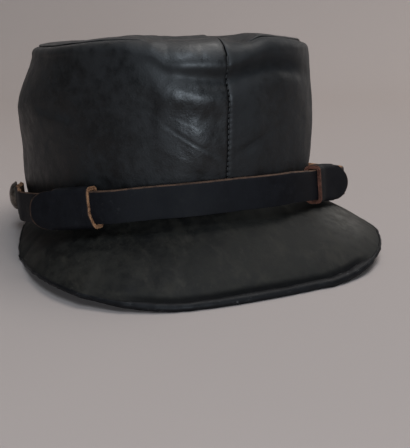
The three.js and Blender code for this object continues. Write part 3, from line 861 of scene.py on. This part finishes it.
# The patch that is rubbed pale and painted paler still as a sheen of light: middle and half size, along
# the edge and out towards it.
wornPatch = {"along": (0.45, 0.15), "share": (0.57, 0.24)}


def visorWornAndSheen(u, v):
    along = (mix(1, -1, u) - wornPatch["along"][0]) / wornPatch["along"][1]
    share = (max(visorRow(v) - 2, 0) - wornPatch["share"][0]) / wornPatch["share"][1]
    return math.exp(-along ** 2 - share ** 2)


# The groove that runs just inside the binding's broad lip, as a share of its full depth.
def grooveAt(along, share):
    lip = tableAt(bindingLip, 1, along)
    edge = visorEdge(along)
    start = visorFace(along, 2)
    inside = (1 - share) * (start - edge).length - lip
    beside = 1 - ease(inside, visor["grooveNear"], visor["grooveFar"])
    return tableAt(bindingLip, 2, along) ** 2 * beside


def makeVisor():
    # Mask for the painted shade that darkens the visor's colour in the groove.
    def grooveShade(u, v):
        share = max(visorRow(v) - 2, 0)
        return grooveAt(mix(1, -1, u), share) if share > 0.8 else 0

    # The pale patch mask paints a sheen of light along with the wear.
    masks = {"worn": visorWornAndSheen, "grooveShade": grooveShade}
    piece = shapedGrid("visor", visor["columns"], visor["rows"], visorSkin, masks)
    setMaterials(piece, visorLeather, fleshSide, blackEdge)
    thicken(piece, visor["wall"], 0.2)
    finishPiece(piece, ["visor"])


# The binding hugs the edge: over its upper face, round it and back under. Its lip is broad in
# front, where a groove runs along it, and is pressed flat towards its ends. Each row has the
# place along the edge, the lip's width in mm and its fullness as a share.
bindingLip = [
    (-1, 0.9, 0.2), (-0.36, 0.9, 0.2), (-0.2, 2.5, 0.9), (0, 2.9, 1), (0.22, 3.3, 1),
    (0.32, 1, 0.25), (1, 0.9, 0.2),
]


def makeBinding():
    plain = visor["wall"] / 2
    breaks = [0, 0.3, 0.68, 1]

    def pointAt(u, v):
        along = mix(binding["end"], -binding["end"], u)
        lip = tableAt(bindingLip, 1, along)
        swell = mix(binding["flat"], binding["swell"], tableAt(bindingLip, 2, along))
        rows = [(lip, 0), (binding["round"], 0), (binding["round"], 180), (binding["under"], 180)]
        step = 0
        while step < 2 and v > breaks[step + 1]:
            step += 1
        share = (v - breaks[step]) / (breaks[step + 1] - breaks[step])
        inwards = mix(rows[step][0], rows[step + 1][0], share)
        turn = math.radians(mix(rows[step][1], rows[step + 1][1], share))
        edge = visorEdge(along)
        forward = (visorEdge(along - 1e-3) - visorEdge(along + 1e-3)).normalized()
        inward = (visorFace(along, 2.9) - edge).normalized()
        up = inward.cross(forward).normalized()
        if up.z < 0:
            up.negate()
        out = forward.cross(up).normalized()
        if out.dot(inward) > 0:
            out.negate()
        reach = plain + swell
        if step == 0:
            risen = (swell + binding["sunk"]) * math.sin(share * math.pi / 2) ** 0.8
            reach = plain - binding["sunk"] + risen
        reach += 0.1 * noiseAt(along * 60, v * 3, 2)
        nick = max(0, noiseAt(along * 26, 5, 0) - 0.2) * 1.2 * (1 - ease(v, 0.05, 0.3))
        return (edge + up * (reach * math.cos(turn) - plain)
                + out * (reach * math.sin(turn) - inwards + nick))

    piece = shapedGrid("visor_binding", binding["columns"], binding["rows"], pointAt)
    setMaterials(piece, bindingLeather, blackEdge, blackEdge)
    thicken(piece, binding["wall"], 0.15)
    finishPiece(piece, ["visor_binding"])


makeVisor()
makeBinding()
print("visor made")

# Chin strap.
strap = {
    "width": 16,
    "wall": 2.2,
    "height": 12.2,
    "tail": 9,
    "short": 4,
    "innerShort": 5,
    "buttonAround": 98,
    "columns": 260,
    "rows": 24,
}
# Degrees round, how far the strap's middle stands off the crown in wall thicknesses, and how far
# it hangs below its height in front as a share of its width.
strapStand = [
    (-106, 1.6, 0.08), (-98, 1.7, 0.1), (-86, 3.8, 0.12), (-72, 6.2, 0.14), (-58, 7.2, 0.11),
    (-40, 4.8, 0.06), (-20, 2.4, 0.01), (0, 1.88, 0), (20, 2.5, 0.04), (40, 3.2, 0.16),
    (58, 8.2, 0.3), (72, 5.4, 0.36), (86, 3.8, 0.34), (98, 1.7, 0.3), (106, 1.6, 0.28),
]
# The rounded ends: distance from the tip and width there, as shares of the strap's width.
strapEnd = [(0, 0.42), (0.05, 0.64), (0.15, 0.85), (0.31, 1), (0.56, 1)]


def makeStrapLine():
    points = []
    lengths = [0]
    ends = strap["buttonAround"] + 8
    for step in range(ends * 4 + 1):
        around = -ends + step / 2
        spot = crownAt(around, (strap["height"] + strap["width"] / 2) / crown["height"])
        _, out = rimAt(around)
        spot.z = strap["height"] - tableAt(strapStand, 2, around) * strap["width"]
        points.append(spot + out * tableAt(strapStand, 1, around) * strap["wall"])
        if step:
            lengths.append(lengths[-1] + (points[-1] - points[-2]).length)
    return points, lengths


strapPoints, strapLengths = makeStrapLine()
strapHalf = strapLengths[-1] / 2


# A point of the strap's line and the way that the strap runs there, along from its middle.
def strapLineAt(along):
    place = min(max(along + strapHalf, 0.01), strapLengths[-1] - 0.01)
    step = 0
    high = len(strapLengths) - 1
    while high - step > 1:
        middle = (step + high) // 2
        if strapLengths[middle] <= place:
            step = middle
        else:
            high = middle
    share = (place - strapLengths[step]) / (strapLengths[high] - strapLengths[step])
    before = strapPoints[max(step - 2, 0)]
    after = strapPoints[min(high + 2, len(strapPoints) - 1)]
    return strapPoints[step].lerp(strapPoints[high], share), (after - before).normalized()


def strapPoint(along, out, up):
    point, forward = strapLineAt(along)
    normal = Vector((forward.y, -forward.x, 0)).normalized()
    return point + normal * out + Vector((0, 0, up))


def buttonAlong():
    spot = crownAt(strap["buttonAround"], 0)
    steps = [strapHalf * (0.7 + 0.298 * step / 200) for step in range(201)]
    return min(steps, key=lambda along: abs(strapLineAt(along)[0].y - spot.y))


buttonPlace = buttonAlong()

slideSize = {
    "wall": 2,
    "sleeve": 20,
    "length": 33,
    "corner": 2.8,
    "gap": 0.35,
    "startLeft": 60,
    "startRight": 69.5,
    "slant": 2.4,
    "tabLeft": 1.75,
    "tabRight": 2.4,
    "tabTall": 0.94,
    "rows": 34,
}


def slideStart(side):
    return slideSize["startLeft"] if side > 0 else slideSize["startRight"]


def endWidth(distance):
    before = max(distance, 0) / strap["width"]
    for low, high in zip(strapEnd, strapEnd[1:]):
        if before <= high[0]:
            share = (before - low[0]) / (high[0] - low[0])
            return mix(low[1], high[1], share)
    return 1


# Rows of the strap from its lower edge at -1 to its upper one at 1, closer at both.
def strapRow(v):
    return mix(-1, 1, v - 0.7 * math.sin(4 * math.pi * v) / (4 * math.pi))


# One half of the strap: the outer one is buttoned at the left, the inner one at the right.
def makeStrap(name, layer, anchorSide):
    half = strap["width"] / 2
    tail = buttonPlace + strap["tail"]
    free = slideStart(-anchorSide) + slideSize["length"] - strap["short"]
    free -= strap["innerShort"] if layer < 0 else 0
    face = (strap["wall"] if layer > 0 else 0) + layer * gap / 2

    def alongOf(u):
        closer = u - 0.55 * math.sin(2 * math.pi * u) / (2 * math.pi)
        return mix(-tail, free, closer)

    def pointAt(u, v):
        along = alongOf(u)
        width = half * endWidth(min(along + tail, free - along))
        row = strapRow(v if anchorSide < 0 else 1 - v)
        out = face - 0.15 * row ** 8 - 0.5 * ease(row, 0.88, 1) ** 2
        spot = Vector((along / 14, row, layer * 5))
        out += 0.22 * noise.noise(spot) * (1 - row ** 6)
        up = row * width + 0.16 * noiseAt(along / 9, row * 0.2, layer)
        return strapPoint(-anchorSide * along, out, up)

    def edgeMask(u, v):
        row = strapRow(v if anchorSide < 0 else 1 - v)
        return ease(row, 0.89, 0.97) + 0.3 * ease(-row, 0.93, 1)

    piece = shapedGrid(name, strap["columns"], strap["rows"], pointAt, {"edge": edgeMask})
    setMaterials(piece, strapLeather, strapFlesh, rawEdge)
    thicken(piece, strap["wall"], 0.28)
    finishPiece(piece, [name])


makeStrap("strap_outer", 1, 1)
makeStrap("strap_inner", -1, -1)
print("straps made")


# Rows down the upper half of a slide's front, as shares of its height, close where the tab's
# outline turns.
frontShares = [
    1, 0.985, 0.97, 0.955, 0.94, 0.932, 0.925, 0.917, 0.91, 0.895, 0.88, 0.86, 0.84, 0.82,
    0.79, 0.76, 0.73, 0.7, 0.67, 0.64, 0.6, 0.56, 0.52, 0.48, 0.44, 0.4, 0.35, 0.3, 0.24,
    0.18, 0.12, 0.06, 0,
]


# The outline of a slide's sleeve from the middle of its back over the top, down its front and
# back: pairs of out and up.
def slideRing():
    halfHeight = strap["width"] / 2 + slideSize["gap"] + slideSize["wall"]
    halfDepth = gap / 2 + strap["wall"] + slideSize["gap"] + slideSize["wall"]
    corner = slideSize["corner"]
    flatUp = halfHeight - corner
    flatOut = halfDepth - corner
    ring = [(-halfDepth, flatUp * step / 6) for step in range(6)]
    for step in range(7):
        turn = math.radians(180 - 15 * step)
        ring.append((-flatOut + corner * math.cos(turn), flatUp + corner * math.sin(turn)))
    for share in frontShares:
        up = share * halfHeight
        lift = max(up - flatUp, 0) / corner
        ring.append((flatOut + corner * math.sqrt(max(1 - lift ** 2, 0)), up))
    return ring + [(out, -up) for out, up in reversed(ring[:-1])], halfHeight, halfDepth


# A slide: one piece of leather, folded round both halves of the strap into a sleeve whose
# front goes on past it as a rounded tab.
def makeSlide(name, side):
    ring, halfHeight, halfDepth = slideRing()
    start = slideStart(side)

    def pointAt(u, v):
        out, up = ring[round(u * (len(ring) - 1))]
        share = abs(up) / halfHeight
        power = slideSize["tabLeft"] if side > 0 else slideSize["tabRight"]
        past = max(1 - (share / slideSize["tabTall"]) ** power, 0) ** (1 / power) if out > 0 else 0
        slant = slideSize["slant"] * ease(-up, 2, 10) if side < 0 else 0
        near = start - slant + 0.25 * noiseAt(up / 4, out / 3, side)
        far = start + slideSize["sleeve"] + past * (slideSize["length"] - slideSize["sleeve"])
        along = mix(near, far, v)
        over = max(along - start - slideSize["sleeve"], 0)
        out = mix(out, halfDepth - 0.3 * share ** 3, ease(over, 0, 3) if out > 0 else 0)
        out += 0.22 * noiseAt(along / 7, up / 6, side * 4)
        up += 0.16 * noiseAt(along / 6, 4, side)
        point = strapPoint(side * (along - over), out, up)
        before = strapPoint(side * (along - over - 1), out, up)
        return point + (point - before) * over

    def edgeMask(u, v):
        out, up = ring[round(u * (len(ring) - 1))]
        return ease(v, 0.94, 1) * 0.7 + ease(-v, -0.05, 0) * 0.8

    piece = shapedGrid(name, len(ring) - 1, slideSize["rows"], pointAt, {"edge": edgeMask})
    faceOutwards(piece, weld=True)
    setMaterials(piece, strapLeather, strapFlesh, redEdge if side > 0 else rawEdge)
    thicken(piece, slideSize["wall"], 0.25)
    finishPiece(piece, [name])


makeSlide("slide_left", 1)
makeSlide("slide_right", -1)
print("slides made")

# Side buttons: a dome with a rolled rim, on a shank that ends in a foot inside the crown.
button = {
    "radius": 8.8,
    "dome": 4.2,
    "domeShare": 0.93,
    "rim": 0.75,
    "back": 1.2,
    "lift": 1.4,
    "shank": 1.7,
    "foot": 3.6,
    "footWall": 1.2,
    "footSeat": 1.4,
    "segments": 56,
}


def makeButton(name, side):
    layer = 1 if side > 0 else -1
    strapFace = (strap["wall"] if layer > 0 else 0) + layer * gap / 2
    seat = strapPoint(side * buttonPlace, 0, 0)
    ahead = (strapPoint(side * (buttonPlace + 1), 0, 0) - seat).normalized()
    out = Vector((side * ahead.y, -side * ahead.x, 0)).normalized()
    wall = crownAt(side * strap["buttonAround"], seat.z / crown["height"])
    toCrown = (wall - seat).dot(out)
    backFace = strapFace + button["lift"]
    footFace = toCrown - crown["wall"] - button["footSeat"]
    profile = [(0, backFace + button["back"] + button["dome"])]
    for angle in range(7, 85, 7):
        turn = math.radians(angle)
        profile.append((button["radius"] * button["domeShare"] * math.sin(turn),
                        backFace + button["back"] + button["dome"] * math.cos(turn)))
    rim = button["rim"]
    for angle in range(150, -121, -30):
        turn = math.radians(angle)
        profile.append((button["radius"] - rim + rim * math.cos(turn),
                        backFace + rim + 0.1 + rim * math.sin(turn)))
    profile += [
        (button["shank"] * 1.6, backFace),
        (button["shank"], backFace - 0.4),
        (button["shank"], footFace + 0.1),
        (button["foot"] - 0.3, footFace),
        (button["foot"], footFace - 0.3),
        (button["foot"], footFace - button["footWall"] + 0.3),
        (button["foot"] - 0.3, footFace - button["footWall"]),
        (0, footFace - button["footWall"]),
    ]
    turned = Vector((0, 1, 0)).rotation_difference(out)

    def pointAt(step, turn):
        radius, height = profile[step]
        angle = math.radians(turn)
        return seat + turned @ Vector((radius * math.cos(angle), height, radius * math.sin(angle)))

    piece = shapedBall(name, button["segments"], len(profile) - 1, pointAt)
    faceOutwards(piece)
    setMaterials(piece, buttonMetal)
    finishPiece(piece, [name])


makeButton("button_left", 1)
makeButton("button_right", -1)
print("buttons made")


# Stitches down the two upright seams: one is modelled, and the rest are copies of it.
stitch = {
    "halfLength": 1.15,
    "halfWidth": 0.38,
    "halfHeight": 0.36,
    "out": 0.5,
    "lean": 0.16,
    "start": 0.05,
    "frontCount": 33,
    "frontAround": -0.1,
    "backCount": 41,
    "backAround": 179.98,
    "backPitch": 0.8,
}


def makeStitches(name, around, pitch, count):
    deselectAll()
    bpy.ops.mesh.primitive_uv_sphere_add(segments=10, ring_count=8, radius=1)
    first = bpy.context.object
    stitches = []
    for index in range(count):
        v = stitch["start"] + pitch * index
        here = crownSkin(around, v)
        above = crownSkin(around, v + 0.01)
        _, out = rimAt(around)
        up = (above - here).normalized()
        sideways = up.cross(out).normalized()
        lean = (up + sideways * stitch["lean"]).normalized()
        outwards = sideways.cross(lean).normalized()
        if outwards.dot(out) < 0:
            outwards.negate()
        across = lean.cross(outwards).normalized()
        copy = bpy.data.objects.new(name, first.data.copy())
        bpy.context.collection.objects.link(copy)
        for corner in copy.data.vertices:
            local = corner.co
            wide = across * (stitch["halfWidth"] * local.x)
            tall = outwards * (stitch["halfHeight"] * local.y)
            long = lean * (stitch["halfLength"] * local.z)
            corner.co = laidDown(here + out * stitch["out"] + wide + tall + long)
        stitches.append(copy)
    bpy.data.objects.remove(first)
    deselectAll()
    for copy in stitches:
        copy.select_set(True)
    bpy.context.view_layer.objects.active = stitches[0]
    bpy.ops.object.join()
    piece = bpy.context.object
    piece.name = name
    faceOutwards(piece)
    setMaterials(piece, thread)
    finishPiece(piece, [])


seamPitch = crown["stitchPitch"] / frontWall
backPitch = seamPitch * stitch["backPitch"]
makeStitches("front_seam_stitches", stitch["frontAround"], seamPitch, stitch["frontCount"])
makeStitches("back_seam_stitches", stitch["backAround"], backPitch, stitch["backCount"])
print("stitches made")

# The studio: a pale sheet that lies on the floor and sweeps up behind, and soft lights.
studio = {
    "sheet": (0.349, 0.303, 0.284),
    "across": 3.4,
    "aside": 0.35,
    "front": -0.31,
    "bendStart": 0.62,
    "bendRadius": 0.5,
    "height": 1.6,
    "world": (0.95, 0.97, 1.0),
    "worldStrength": 0.06,
    "aim": (0, -0.02, 0.06),
}


def makeSheet():
    deselectAll()
    bpy.ops.mesh.primitive_grid_add(x_subdivisions=4, y_subdivisions=72, size=2)
    sheet = bpy.context.object
    sheet.name = "backdrop"
    flat = studio["bendStart"] - studio["front"]
    bend = studio["bendRadius"] * math.pi / 2
    length = flat + bend + studio["height"]
    turned = Matrix.Rotation(math.radians(view["turn"][2]), 3, "Z")
    for corner in sheet.data.vertices:
        run = (corner.co.y + 1) / 2 * length
        across = corner.co.x * studio["across"] / 2 + studio["aside"]
        angle = min(max(run - flat, 0) / studio["bendRadius"], math.pi / 2)
        back = studio["front"] + min(run, flat) + studio["bendRadius"] * math.sin(angle)
        height = studio["bendRadius"] * (1 - math.cos(angle)) + max(run - flat - bend, 0)
        corner.co = turned @ Vector((across, back, height))
    activate(sheet)
    bpy.ops.object.shade_smooth()
    material = bpy.data.materials.new("backdrop")
    material.use_nodes = True
    shader = material.node_tree.nodes["Principled BSDF"]
    color = (*studio["sheet"], 1)
    setInputs(shader, {"Base Color": color, "Roughness": 0.95, "Specular IOR Level": 0.1})
    sheet.data.materials.append(material)


makeSheet()
world = bpy.data.worlds.new("studio")
world.use_nodes = True
sky = {"Color": (*studio["world"], 1), "Strength": studio["worldStrength"]}
setInputs(world.node_tree.nodes["Background"], sky)
bpy.context.scene.world = world


# Soft boxes that look at the cap: degrees round from the front, degrees up, distance, width
# and height in metres, power and colour.
lights = {
    "keyBox": (-16, 58, 1.5, 0.42, 0.8, 10.5, (0.78, 0.89, 1)),
    "frontBox": (-11, 6, 1.2, 0.3, 0.34, 8.0, (0.78, 0.89, 1)),
    "rimBox": (112, 20, 1.4, 0.4, 0.7, 2, (1, 0.98, 0.95)),
    "overheadBox": (100, 70, 2.2, 1.2, 1.2, 31, (1, 0.98, 0.96)),
    "backBox": (165, 35, 1.5, 1.2, 0.4, 4, (1, 0.97, 0.94)),
}


def addLight(name, around, up, distance, width, height, power, color):
    data = bpy.data.lights.new(name, "AREA")
    data.shape = "RECTANGLE"
    data.size = width
    data.size_y = height
    data.energy = power
    data.color = color
    light = bpy.data.objects.new(name, data)
    turn = math.radians(around)
    rise = math.radians(up)
    away = Vector((math.sin(turn) * math.cos(rise), -math.cos(turn) * math.cos(rise), math.sin(rise)))
    light.location = Vector(studio["aim"]) + away * distance
    light.rotation_euler = away.to_track_quat("Z", "Y").to_euler()
    bpy.context.collection.objects.link(light)


for lightName, settings in lights.items():
    addLight(lightName, *settings)
bpy.context.scene.view_settings.view_transform = "Standard"
print("studio made")
